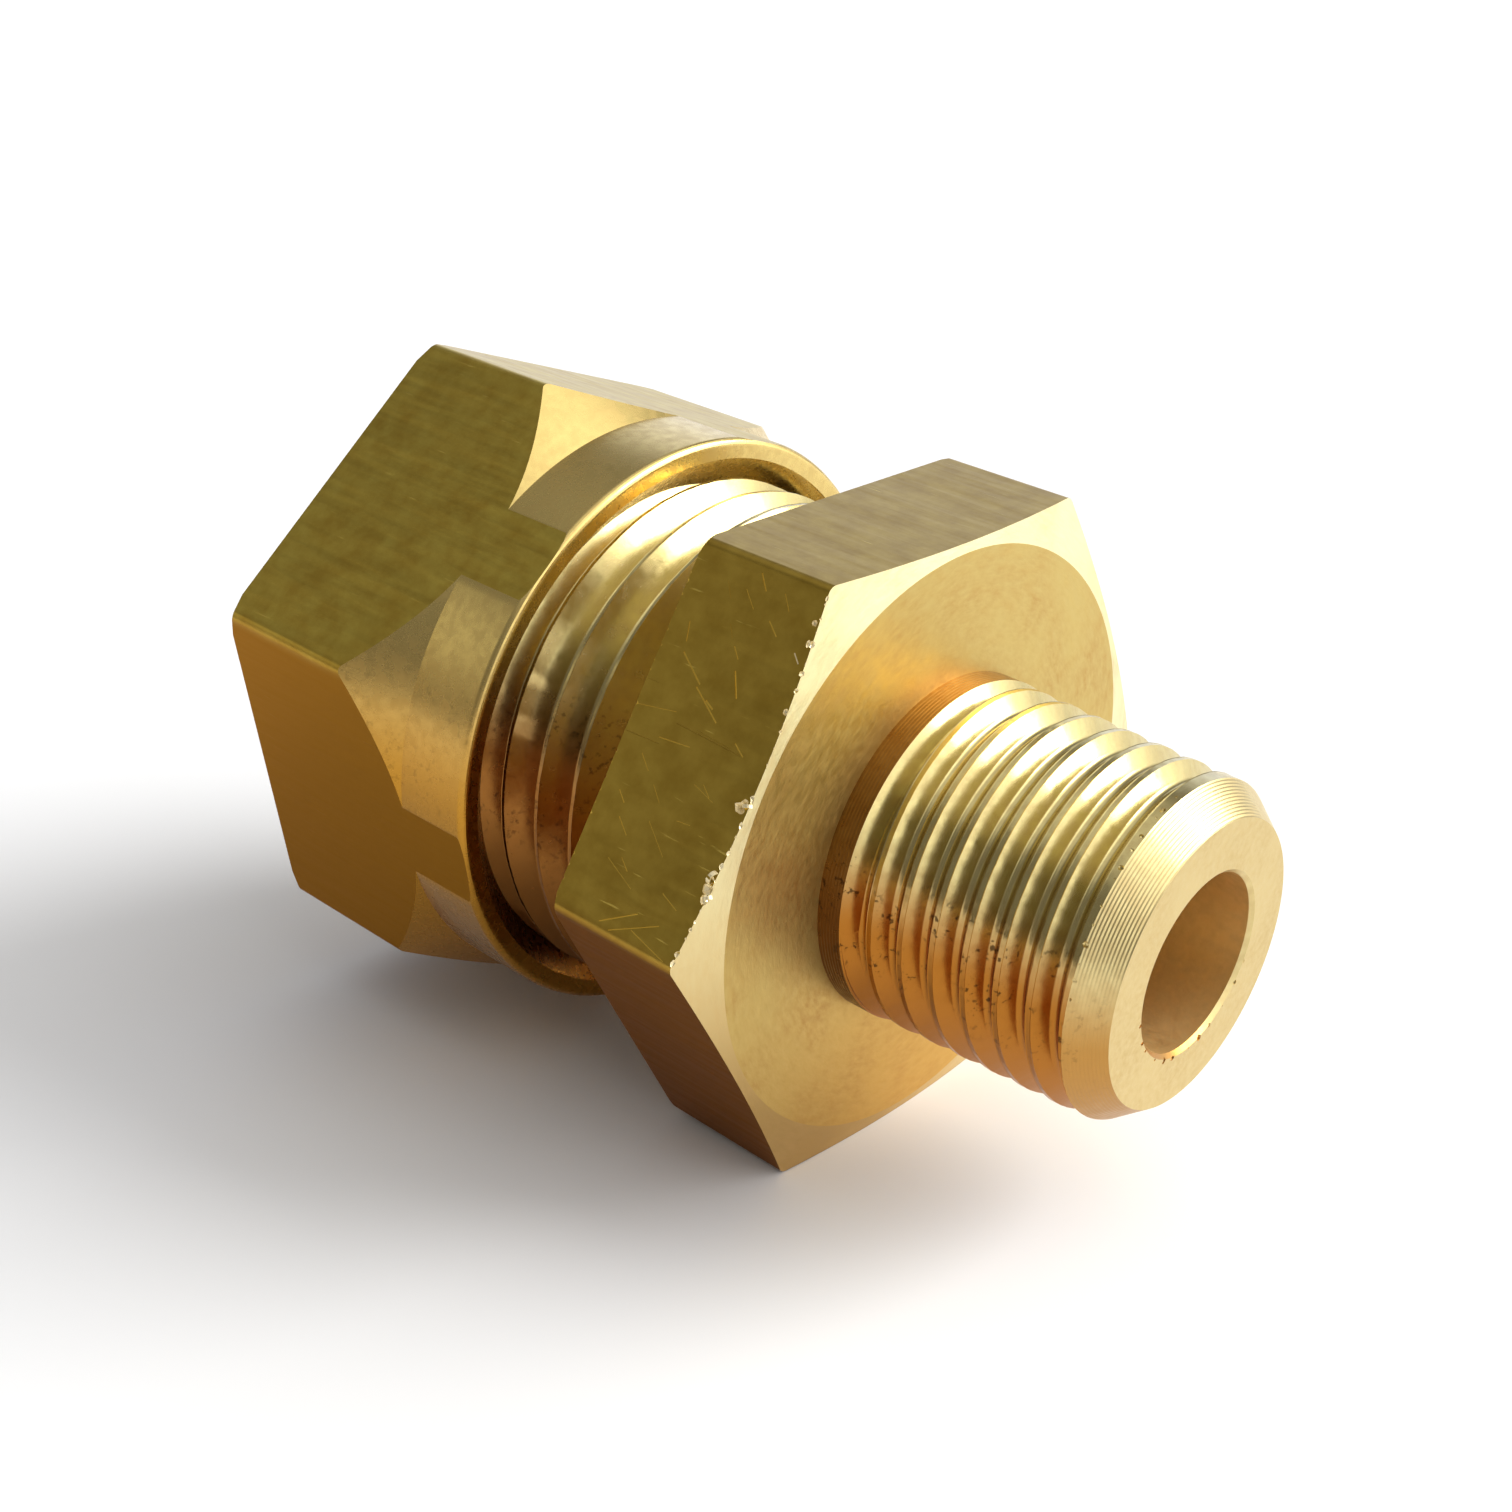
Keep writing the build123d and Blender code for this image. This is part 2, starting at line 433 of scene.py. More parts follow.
# %% Scratches: from one (along, across) to another, and the width
for start, end, width in (
    ((-5.13, 3.03), (-3.95, 2.23), 0.09),
    ((-4.04, 2.11), (-2.68, 1.26), 0.08),
    ((-3.45, 1.82), (-3.04, 1.63), 0.10),
    ((-2.79, 3.13), (-2.3, 2.28), 0.07),
    ((-3.23, 3.89), (-2.87, 3.52), 0.06),
    ((-6.14, -0.25), (-4.59, -0.19), 0.06),
    ((-4.7, 0.02), (-3.31, 0.15), 0.05),
    ((-4.24, 0.7), (-1.24, 0.59), 0.06),
    ((-3.32, 0.78), (-1.8, 0.68), 0.04),
    ((-6.42, 1.7), (-5.62, 1.72), 0.04),
    ((-3.33, 6.51), (-2.89, 5.99), 0.07),
    ((-2.29, 5.12), (-1.77, 4.71), 0.07),
    ((-0.84, 4.46), (-0.52, 4.16), 0.07),
    ((-4.55, 5.87), (-4.16, 5.33), 0.04),
    ((-5.11, -0.72), (-4.56, -1.19), 0.05),
    ((-5.41, -2.19), (-4.99, -2.54), 0.06),
    ((-4.95, -3.03), (-4.35, -3.51), 0.06),
    ((-4.17, -4.25), (-3.71, -4.6), 0.05),
    ((-1.98, -4.69), (-1.18, -4.99), 0.05),
    ((-4.01, -6.55), (-2.61, -5.71), 0.05),
    ((-3.5, -6.68), (-1.59, -5.73), 0.04),
    ((-2.61, -6.3), (-0.88, -6.72), 0.05),
    ((-5.41, 4.08), (-5.21, 3.39), 0.04),
    ((-3.75, 4.55), (-3.42, 4.08), 0.04),
    ((-4.12, -1.53), (-3.6, -2.0), 0.03),
    ((-2.63, -2.29), (-2.03, -2.23), 0.03),
    ((-2.17, -0.79), (-1.74, -1.12), 0.04),
    ((-3.69, 5.82), (-3.09, 5.27), 0.04),
    ((-2.12, 6.16), (-1.69, 5.64), 0.04),
    ((-6.23, 0.74), (-4.43, 1.05), 0.03),
    ((-1.62, 0.91), (-1.12, 0.6), 0.07),
    ((-4.71, -4.47), (-3.28, -5.07), 0.03),
    ((-2.52, -0.92), (-1.53, -1.2), 0.03),
    ((-3.69, -2.71), (-2.57, -3.6), 0.03),
):
    scratch(start, end, width)
cut_all(flange, "scratches")

# %% Nicked edges: small ones all along both edges, and large ones where the cutter tore
EDGE_HALF = 6.6


def along_edge(count):
    """Uneven places across the near flat, from corner to corner."""
    for step in range(count):
        yield -EDGE_HALF + 2 * EDGE_HALF * (step + chance.uniform(-0.3, 0.3)) / (count - 1)


for across in along_edge(34):
    front_edge = -(math.hypot(ACROSS_FLATS / 2, across) - FRONT_FLAT) * front_slope
    nick(on_near_flat(front_edge + 0.02, across, 0.03), chance.choice((0.06, 0.08, 0.11, 0.15)))
for across in along_edge(30):
    nick(on_near_flat(FLANGE_BACK, across, 0.03), chance.choice((0.05, 0.07, 0.09)))
for along, across, size in (
    (-0.42, -0.97, 0.30),
    (-0.3, -0.73, 0.22),
    (-0.07, -0.47, 0.16),
    (-0.36, -3.86, 0.26),
    (-0.39, -3.54, 0.18),
    (-0.32, -4.25, 0.20),
    (-0.54, 5.62, 0.16),
    (-0.47, 4.91, 0.14),
    (-0.24, 2.55, 0.14),
    (-0.18, -2.97, 0.14),
):
    nick(on_near_flat(along, across, 0.05), size)
cut_all(flange, "nicks")

# %% [markdown]
# A chip is a ribbon that curled as it was cut. Its outline is an arc with a thin wall, filled
# with one face and extruded to the ribbon's width. Its foot is joined to the torn edge.

# %% Curled chips
CHIP_WALL = 0.035


def chip(along, across, curl, width, turned_by):
    """A thin curl of swarf whose foot is still in the edge. curl is its radius."""
    thinner = (curl - CHIP_WALL) / curl
    sweep = [(curl * math.cos(a), curl * math.sin(a)) for a in np.linspace(-2.2, 1.4, 12)]
    outline = sweep + [(thinner * x, thinner * y) for x, y in reversed(sweep)]
    curled = draw_outline("chip", outline + outline[:1])
    bpy.ops.mesh.select_all(action="SELECT")
    bpy.ops.mesh.remove_doubles(threshold=SLIVER)
    bpy.ops.mesh.select_all(action="SELECT")
    bpy.ops.mesh.edge_face_add()
    bpy.ops.mesh.select_all(action="SELECT")
    bpy.ops.mesh.extrude_region_move(TRANSFORM_OT_translate={"value": (0, 0, width * MM)})
    bpy.ops.mesh.select_all(action="SELECT")
    bpy.ops.mesh.normals_make_consistent(inside=False)
    done()
    curled.data.transform(
        Matrix.Translation(on_near_flat(along, across))
        @ Matrix.Rotation(math.radians(turned_by), 4, FLAT)
        @ FLAT.to_track_quat("X", "Z").to_matrix().to_4x4()
    )
    combine(flange, curled, "UNION")


chip(-0.12, -0.87, curl=0.2, width=0.12, turned_by=20)
chip(-0.24, -3.47, curl=0.26, width=0.16, turned_by=75)
chip(-0.12, -4.18, curl=0.16, width=0.12, turned_by=40)

# %% [markdown]
# ## The stem
# The stem's thread tapers by 1 in 16. The die stopped short of the end, so its last crest runs
# out into a plain band. In front of that is a cone. A feed of 0.13 mm a turn left fine rings
# on the cone and the neck, which are real steps here because they catch the light one by one.

# %% Tool marks
TOOL_STEP, TOOL_DEPTH = 0.13, 0.012


def tool_marks(start, end):
    """Points from one place to another, with the small scallops that a tool's feed leaves."""
    (x0, r0), (x1, r1) = start, end
    marks = round(math.hypot(x1 - x0, r1 - r0) / TOOL_STEP)
    points = [start]
    for mark in range(marks):
        low, high = (mark + 0.5) / marks, (mark + 1) / marks
        points.append((x0 + (x1 - x0) * low, r0 + (r1 - r0) * low - TOOL_DEPTH))
        points.append((x0 + (x1 - x0) * high, r0 + (r1 - r0) * high))
    return points


# %% Stem thread and cone
THREAD_START, STEM_END = 0.9, 11.5
STEM_PITCH, STEM_DEPTH, STEM_TAPER = 1.337, 0.60, 1 / 16
TIP_RADIUS = 6.391  # over the crests, at the stem's end
LAST_CREST = 9.591  # at angle 0
CONE_START = 10.28
stem = threaded_bar(
    "stem", STEM_PITCH, STEM_DEPTH, TIP_RADIUS + (STEM_END - THREAD_START) * STEM_TAPER / 2,
    THREAD_START, STEM_END, 2.906, taper=STEM_TAPER, steps=288, wear=0.016, last=LAST_CREST,
)
cone = tool_marks((CONE_START, 6.44), (STEM_END, 5.46))
stem_envelope = turned(
    "stem_envelope", [(-0.5, 0.6), (-0.5, 7.1), (10.0, 7.1), *cone, (STEM_END, 0.6)]
)
combine(stem, stem_envelope, "INTERSECT")

# %% Nicks in the last crest's edge
for step in range(26):
    angle = math.radians(100 + 6 * step + chance.uniform(-2, 2))
    along = LAST_CREST + STEM_PITCH * angle / math.tau + 0.14
    radius = TIP_RADIUS + (STEM_END - along) * STEM_TAPER / 2
    edge = Vector((along, radius * math.cos(angle), radius * math.sin(angle))) * MM
    nick(edge, chance.choice((0.05, 0.07, 0.09, 0.13)))
cut_all(stem, "edge_nicks", tangled=False)

# %% Neck: a plain land behind the thread, with a sloping front
NECK, NECK_END = 6.78, 1.0
land = tool_marks((0.04, NECK), (NECK_END, NECK))
neck = turned("neck", [(-1, 0.7), (-1, NECK), *land, (1.6, 5.92), (1.6, 0.7)])
combine(stem, neck, "UNION")

# %% [markdown]
# ## The spigot
# The spigot carries the nut. Its thread is parallel and coarser, with a chamfer at the open
# end and a groove before the flange where the tool ran out. An envelope trims all three.

# %% Spigot
SPIGOT_FACE = -17.0
SPIGOT_PITCH, SPIGOT_CREST_AT = 1.814, -9.791
SPIGOT_OVER = 10.5  # the envelope's radius, just clear of the crests
GROOVE = 9.15
spigot = threaded_bar(
    "spigot", SPIGOT_PITCH, 1.05, 10.43, SPIGOT_FACE, -5.2, SPIGOT_CREST_AT, wear=0.03
)
spigot_envelope = turned(
    "spigot_envelope",
    [
        (SPIGOT_FACE, 0.8), (SPIGOT_FACE, 9.35), (SPIGOT_FACE + 1.15, SPIGOT_OVER),
        (-8.6, SPIGOT_OVER), (-7.6, GROOVE), (-5.8, GROOVE), (-5.8, 0.8),
    ],
)
combine(spigot, spigot_envelope, "INTERSECT")

# %% [markdown]
# ## One body, bored through
# The three turned parts are joined, and one stepped tool bores them: a cone that seats the
# olive, a socket for the tube, and the narrow bore with its small chamfer at the stem's end.

# %% Join the body and bore it
SEAT_MOUTH, SOCKET, BORE = 8.9, 7.55, 3.4
combine(flange, stem, "UNION")
combine(flange, spigot, "UNION")
bore = turned(
    "bore",
    [
        (-18, 0), (-18, SEAT_MOUTH), (SPIGOT_FACE, SEAT_MOUTH), (-14.662, SOCKET),
        (-2.0, SOCKET), (-2.0, BORE), (11.35, BORE), (STEM_END, 3.55), (12, 4.05), (12, 0),
    ],
)
combine(flange, bore, "DIFFERENCE")
adaptor_body = flange

# %% Nicks round the mouth of the bore
for step in range(12):
    angle = math.radians(195 + 13 * step + chance.uniform(-3, 3))
    mouth = Vector((STEM_END, 3.6 * math.cos(angle), 3.6 * math.sin(angle))) * MM
    nick(mouth, chance.choice((0.06, 0.09, 0.13)))
cut_all(adaptor_body, "mouth_nicks", tangled=False)

# %% [markdown]
# ## The nut
# The nut is cut from the same bar. The lathe turns a round collar on its open end, with a
# cone behind it that runs out over the hexagon's corners. Its thread is cut inside with the
# spigot's own form, a little larger, so that the two run freely.

# %% Nut outside
NUT_MOUTH, NUT_BACK, NUT_TURN = -12.94, -25.638, -18.5
NUT_BACK_FLAT = 13.4  # radius where the back chamfer starts
COLLAR, COLLAR_BACK, RIM_ROUND = 12.1, -16.39, 0.3
nut = hexagon_bar("compression_nut_turned", NUT_BACK, NUT_MOUTH, NUT_TURN)
shoulder = (BLANK - COLLAR) / math.tan(math.radians(35))
rim = [
    (NUT_MOUTH - RIM_ROUND + RIM_ROUND * math.sin(a), COLLAR - RIM_ROUND * (1 - math.cos(a)))
    for a in np.linspace(0, math.pi / 2, 7)
]
nut_envelope = turned(
    "nut_envelope",
    [
        (NUT_BACK, 0.5), (NUT_BACK, NUT_BACK_FLAT),
        (NUT_BACK + (BLANK - NUT_BACK_FLAT) * back_slope, BLANK),
        (COLLAR_BACK - shoulder, BLANK), (COLLAR_BACK, COLLAR), *rim, (NUT_MOUTH, 0.5),
    ],
)
combine(nut, nut_envelope, "INTERSECT")

# %% Nut inside: the hole for the tube, the seat for the olive, and the threaded bore
nut_bore = turned(
    "nut_bore",
    [
        (-27, 0), (-27, 7.7), (-23.637, 7.7), (-21.04, 9.2), (-21.04, 9.55),
        (-14.69, 9.55), (NUT_MOUTH, 11.3), (-12, 11.3), (-12, 0),
    ],
)
combine(nut, nut_bore, "DIFFERENCE")
nut_tap = threaded_bar("nut_tap", SPIGOT_PITCH, 1.10, 10.55, -20.9, -12.5, SPIGOT_CREST_AT)
combine(nut, nut_tap, "DIFFERENCE")

# %% [markdown]
# ## Brass
# All of it is free-cutting brass, a copper and zinc alloy with a little lead. It is a metal,
# so its colour is in its reflections. What differs is the last thing done to each surface, so
# there is one material for each way of making: drawn, faced and turned. Several of them also
# carry painted shade, painted highlights and painted reflections, set below. Patterns read
# Object coordinates, so they stay with the metal when a piece moves.

# %% Colour and node helpers
COLOUR_A, COLOUR_B = 6, 7  # the two colour sockets of a Mix node


def srgb(code):
    """Linear colour from an sRGB hex code."""
    parts = [int(code[i : i + 2], 16) / 255 for i in (1, 3, 5)]
    return [p / 12.92 if p <= 0.04045 else ((p + 0.055) / 1.055) ** 2.4 for p in parts] + [1.0]


def add(tree, kind, settings=None, links=None):
    """Add a node, set its sockets or properties, and link its inputs.

    A link comes from a socket, or from a node, and then from its first output in use.
    """
    node = tree.nodes.new("ShaderNode" + kind)
    for key, value in (settings or {}).items():
        if isinstance(key, int) or key in node.inputs:
            node.inputs[key].default_value = value
        else:
            setattr(node, key, value)
    for key, source in (links or {}).items():
        if isinstance(source, bpy.types.Node):
            source = next(socket for socket in source.outputs if socket.enabled)
        tree.links.new(source, node.inputs[key])
    return node


# %% Start and end of a metal


def blank(name):
    """A material with no nodes yet, and its tree. Its name says how the surface was made."""
    material = bpy.data.materials.new(name)
    material.use_nodes = True
    material.node_tree.nodes.clear()
    return material, material.node_tree


def surface(tree, links):
    """End a material in a metal shader with these links."""
    shader = add(tree, "BsdfPrincipled", {"Metallic": 1.0}, links)
    add(tree, "OutputMaterial", None, {"Surface": shader})


# %% Places on a turned piece


def measures(tree):
    """A place on a piece and its distance from the axis, both in millimetres."""
    here = add(tree, "TexCoord")
    place = add(
        tree, "VectorMath", {"operation": "SCALE", "Scale": 1 / MM}, {0: here.outputs["Object"]}
    )
    square = add(tree, "VectorMath", {"operation": "MULTIPLY", 1: (0.0, 1.0, 1.0)}, {0: place})
    return place, add(tree, "VectorMath", {"operation": "LENGTH"}, {0: square})


def facing(tree, place, radius, side):
    """How far a place faces one side, an angle round the axis: 1 at it, 0 square to it."""
    way = (0.0, math.cos(math.radians(side)), math.sin(math.radians(side)))
    dot = add(tree, "VectorMath", {"operation": "DOT_PRODUCT", 1: way}, {0: place})
    return add(tree, "Math", {"operation": "DIVIDE"}, {0: dot, 1: radius})


def underside(tree, place, radius, lowest, softness):
    """1 within 60 degrees of the piece's lower side, 0 elsewhere. lowest is its angle. It is the
    mask for painted shade and painted highlights.
    """
    return add(
        tree, "MapRange",
        {
            "interpolation_type": "SMOOTHSTEP",
            "From Min": 0.5 - softness, "From Max": 0.5 + softness,
        },
        {"Value": facing(tree, place, radius, lowest)},
    )


# %% [markdown]
# ### Drawn brass: the flats of the bar
# Pulling the bar through its die left fine streaks along it, a few waves to the millimetre
# across and stretched 13 times along. The eye gets an olive gold with faint clouds of about
# 1 mm. The lower flats are painted a darker brown that stops sharply at the arris: painted
# shade, standing in for the dark reflections on that side. There the tint of grazing
# reflections is made warmer too, a painted reflection.

# %% Drawn brass


def drawn_brass(name, light, dark, lowest, painted_shade):
    material, tree = blank(name)
    place, radius = measures(tree)
    along_bar = add(
        tree, "VectorMath", {"operation": "MULTIPLY", 1: (0.12, 1.6, 1.6)}, {0: place}
    )
    streaks = add(tree, "TexNoise", {"Scale": 2.0, "Detail": 3.0}, {"Vector": along_bar})
    clouds = add(
        tree, "TexNoise", {"Scale": 0.9, "Detail": 6.0, "Roughness": 0.65}, {"Vector": place}
    )
    dots = add(tree, "TexNoise", {"Scale": 5.0}, {"Vector": along_bar})
    mottle = add(tree, "MapRange", {"From Min": 0.34, "From Max": 0.66}, {"Value": clouds})
    flecks = add(tree, "MapRange", {"From Min": 0.71, "From Max": 0.77}, {"Value": dots})
    clean = add(
        tree, "Mix", {"data_type": "RGBA", COLOUR_A: srgb(light), COLOUR_B: srgb(dark)},
        {0: mottle},
    )
    flecked = add(
        tree, "Mix", {"data_type": "RGBA", COLOUR_B: srgb("#d8bd5c")},
        {0: flecks, COLOUR_A: clean},
    )
    # Painted shade on the lower flats, and a warmer painted reflection tint there.
    low_side = underside(tree, place, radius, lowest, 0.03)
    tint = add(
        tree, "Mix", {"data_type": "RGBA", COLOUR_B: srgb(painted_shade)},
        {0: low_side, COLOUR_A: flecked},
    )
    painted_reflection_tint = add(
        tree, "Mix", {"data_type": "RGBA", COLOUR_A: srgb("#ffffff"), COLOUR_B: srgb("#f2d4c8")},
        {0: low_side},
    )
    rough = add(
        tree, "MapRange", {"From Min": 0.3, "From Max": 0.7, "To Min": 0.28, "To Max": 0.40},
        {"Value": streaks},
    )
    relief = add(tree, "Math", {"operation": "ADD"}, {0: streaks, 1: flecks})
    bump = add(tree, "Bump", {"Strength": 0.25, "Distance": 0.00002}, {"Height": relief})
    surface(
        tree,
        {"Base Color": tint, "Specular Tint": painted_reflection_tint, "Roughness": rough, "Normal": bump},
    )
    return material


# %% [markdown]
# ### Faced brass: the flange's front, its chamfer and the stem's end
# A facing tool leaves short grains that follow its circular path, about 0.3 mm apart, so the
# pattern is drawn in polar coordinates. They catch the light as specks. The top is painted
# paler, a painted highlight, and the lower part warmer, a painted reflection. Brown stains
# follow the grain.

# %% Faced brass


def faced_brass(name, top, bottom, brown, low, high, lowest=285):
    material, tree = blank(name)
    place, radius = measures(tree)
    split = add(tree, "SeparateXYZ", None, {0: place})
    angle = add(
        tree, "Math", {"operation": "ARCTAN2"}, {0: split.outputs["Z"], 1: split.outputs["Y"]}
    )
    arc = add(tree, "Math", {"operation": "MULTIPLY", 1: 4.0}, {0: angle})
    polar = add(tree, "CombineXYZ", None, {"X": radius, "Y": arc})
    grain = add(
        tree, "TexNoise", {"Scale": 3.6, "Detail": 4.0, "Roughness": 0.6}, {"Vector": polar}
    )
    patches = add(tree, "TexNoise", {"Scale": 0.35, "Detail": 3.0}, {"Vector": place})
    clouds = add(tree, "MapRange", {"From Min": 0.35, "From Max": 0.65}, {"Value": patches})
    high_grain = add(tree, "MapRange", {"From Min": 0.3}, {"Value": grain})
    stain = add(tree, "Math", {"operation": "MULTIPLY"}, {0: clouds, 1: high_grain})
    # Painted light: a paler top as a painted highlight, and a warmer bottom as a painted
    # reflection.
    painted_light_top_bottom = add(
        tree, "Mix", {"data_type": "RGBA", COLOUR_A: srgb(top), COLOUR_B: srgb(bottom)},
        {0: underside(tree, place, radius, lowest, 0.6)},
    )
    tint = add(
        tree, "Mix", {"data_type": "RGBA", COLOUR_B: srgb(brown)}, {0: stain, COLOUR_A: painted_light_top_bottom}
    )
    rough = add(
        tree, "MapRange", {"From Min": 0.3, "From Max": 0.7, "To Min": low, "To Max": high},
        {"Value": grain},
    )
    bump = add(tree, "Bump", {"Strength": 0.5, "Distance": 0.00003}, {"Height": grain})
    surface(tree, {"Base Color": tint, "Roughness": rough, "Normal": bump})
    return material


# %% [markdown]
# ### Turned brass: threads, neck, cone, collar and bores
# Clean turned brass is smooth, pale and bright, with a faint cloudiness of about half a
# millimetre. Its lower side is painted darker and coppery, a painted shade that stands in for
# the dark reflections there, and dark specks of dirt sit in a band along the upper limit of
# that. They are 0.25 mm across and come in groups some 2 mm apart.

# %% Turned brass


def dirt_specks(tree, place, lowness, dirt):
    """Where dirt covers a surface: 0 for clean, and up to dirt in the specks."""
    spots = add(
        tree, "TexNoise", {"Scale": 4.0, "Detail": 3.0, "Roughness": 0.6}, {"Vector": place}
    )
    groups = add(tree, "TexNoise", {"Scale": 0.5, "Detail": 1.0}, {"Vector": place})
    specks = add(
        tree, "MapRange", {"From Min": 0.57, "From Max": 0.64, "To Max": dirt}, {"Value": spots}
    )
    grouped = add(tree, "MapRange", {"From Min": 0.46, "From Max": 0.56}, {"Value": groups})
    under_top = add(tree, "MapRange", {"From Min": 0.35, "From Max": 0.5}, {"Value": lowness})
    over_bottom = add(tree, "MapRange", {"From Min": 0.97, "From Max": 0.85}, {"Value": lowness})
    band = add(tree, "Math", {"operation": "MULTIPLY"}, {0: under_top, 1: over_bottom})
    dirty = add(tree, "Math", {"operation": "MULTIPLY"}, {0: specks, 1: grouped})
    return add(tree, "Math", {"operation": "MULTIPLY"}, {0: dirty, 1: band})


def turned_brass(name, colour, roughness, lowest=225, painted_shade=None, dirt=0.0):
    material, tree = blank(name)
    place, radius = measures(tree)
    grain = add(tree, "TexNoise", {"Scale": 2.2, "Detail": 4.0}, {"Vector": place})
    cloudy = add(
        tree, "MapRange", {"From Min": 0.35, "From Max": 0.65, "To Max": 0.25}, {"Value": grain}
    )
    tint = add(
        tree, "Mix", {"data_type": "RGBA", COLOUR_A: srgb(colour), COLOUR_B: srgb("#a98550")},
        {0: cloudy},
    )
    # Painted shade: the lower side turns darker and coppery.
    if painted_shade:
        tint = add(
            tree, "Mix", {"data_type": "RGBA", COLOUR_B: srgb(painted_shade)},
            {0: underside(tree, place, radius, lowest, 0.26), COLOUR_A: tint},
        )
        specks = dirt_specks(tree, place, facing(tree, place, radius, lowest), dirt)
        tint = add(
            tree, "Mix", {"data_type": "RGBA", COLOUR_B: srgb("#2c1a0e")},
            {0: specks, COLOUR_A: tint},
        )
    rough = add(
        tree, "MapRange",
        {
            "From Min": 0.3, "From Max": 0.7,
            "To Min": roughness - 0.04, "To Max": roughness + 0.06,
        },
        {"Value": grain},
    )
    bump = add(tree, "Bump", {"Strength": 0.18, "Distance": 0.00002}, {"Height": grain})
    surface(tree, {"Base Color": tint, "Roughness": rough, "Normal": bump})
    return material


# %% The brasses of this fitting
# The body's flats are a darker brass than the nut's, though both are cut from the same bar: the
# darker colour is painted shade, standing in for the dimmer reflections on the body's flats.
body_flats = drawn_brass("drawn_brass_body", "#b89a42", "#a68734", 240, "#8a5a1a")
nut_flats = drawn_brass("drawn_brass_nut", "#d2b954", "#bf9f40", 221.5, "#96681a")
# The front and chamfer colours run from a painted highlight at the top, palest on the chamfer, to
# a warmer painted reflection below.
front = faced_brass("faced_brass_front", "#cfb66e", "#d2aa5c", "#b98c4a", 0.38, 0.54)
chamfer = faced_brass("faced_brass_chamfer", "#f6ecb8", "#c4a160", "#d8b87c", 0.34, 0.44, 240)
end_faced = faced_brass("faced_brass_end", "#dcc58a", "#dcc58a", "#c8a868", 0.34, 0.46)
burr = faced_brass("torn_brass_edge", "#f6e8c0", "#f6e8c0", "#d8b878", 0.45, 0.60)
groove = faced_brass("scratched_brass", "#e2bf52", "#e2bf52", "#c9a13c", 0.36, 0.50)
stem_thread = turned_brass("turned_brass_stem_thread", "#dccb8c", 0.20, 225, "#a86c28", 0.8)
spigot_thread = turned_brass("turned_brass_spigot", "#dccb8c", 0.22, 215, "#905f2c", 0.5)
body_turned = turned_brass("turned_brass_body", "#dcc88e", 0.32, 235, "#b98a48", 0.2)
# The neck is a dark brown all round: painted shade, standing in for its dim reflections beside
# the flange.
neck_turned = turned_brass("turned_brass_neck", "#8c6636", 0.30, 225, "#6a4420", 0.7)
# The bore is a paler brass than the rest: painted light that brightens its deep inside.
bore_brass = turned_brass("bored_brass", "#f0cf8f", 0.48)
nut_turned = turned_brass("turned_brass_nut", "#ecd082", 0.26, 221.5, "#b88430", 0.2)
olive_brass = turned_brass("turned_brass_olive", "#dcc37e", 0.2)
print("brasses:", [material.name for material in bpy.data.materials if "brass" in material.name])

# %% [markdown]
# ## Finishing each piece
# A lathe cuts a face square to the axis dead flat, while round faces should shade smoothly.
# So a piece is smoothed by angle, its square faces are kept flat, and normals are weighted by
# area. Each face takes its finish from where it lies, as on the real piece, where the finish
# changes at an edge. Then the piece takes the place of its CAD node.

# %% Put a piece on its body


def settle(piece, node, finishes):
    """Shade a piece, give each face its finish, and put the piece in its CAD node's place.

    finishes is a list of (material, test), and each face takes the first whose test holds.
    A test is given the face's place along the axis, its radius and its normal.
    """
    pick(piece)
    piece.data.materials.clear()
    for material, _ in finishes:
        piece.data.materials.append(material)
    for face in piece.data.polygons:
        along, radius = face.center.x / MM, math.hypot(face.center.y, face.center.z) / MM
        for index, (_, test) in enumerate(finishes):
            if test(along, radius, face.normal):
                face.material_index = index
                break
    bpy.ops.object.shade_smooth_by_angle(angle=math.radians(12))
    for face in piece.data.polygons:
        if abs(face.normal.x) > 0.9999:
            face.use_smooth = False
    finish_with(piece, "WEIGHTED_NORMAL", keep_sharp=True)
    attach(piece, node)
    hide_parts(node)
    triangles = sum(len(face.vertices) - 2 for face in piece.data.polygons)
    print(piece.name, "triangles:", triangles)


# %% Where each finish lies
NEAR_FLATS = 11.6  # just inside the flats, and outside all that is turned on the body
FLANGE_TURNED = 6.85  # just outside the neck


def always(along, radius, normal):
    return True


def on_flat(along, radius, normal):
    return abs(normal.x) < 0.02 and radius > NEAR_FLATS


def is_front(along, radius, normal):
    """The front face and both chamfers. The face is a few large ones, centred anywhere."""
    outside = radius > FLANGE_TURNED or abs(along) < 0.03
    return abs(normal.x) > 0.8 and along > -7 and outside


def is_torn(along, radius, normal):
    """The sides of scratches, nicks and chips on the flange, but not its back chamfer."""
    slanting = 0.02 < abs(normal.x) < 0.95 and not -0.89 < normal.x < -0.84
    return slanting and radius > NEAR_FLATS and along > -6.3


# %% Settle the body
settle(
    adaptor_body, "fitting_body",
    [
        (body_flats, on_flat),
        (burr, lambda *face: is_torn(*face) and face[0] > -0.75),
        (groove, is_torn),
        (end_faced, lambda along, radius, normal: along > 11.45 and normal.x > 0.9),
        (chamfer, lambda *face: is_front(*face) and abs(face[2].x) < 0.995),
        (front, is_front),
        (bore_brass, lambda along, radius, normal: radius < 3.45),
        (neck_turned, lambda along, radius, normal: radius > 6.6 and 0 < along < 1.01),
        (stem_thread, lambda along, radius, normal: 5.2 < radius and 1.0 < along < CONE_START),
        (spigot_thread, lambda along, radius, normal: 9.2 < radius and along < -6.4),
        (body_turned, always),
    ],
)

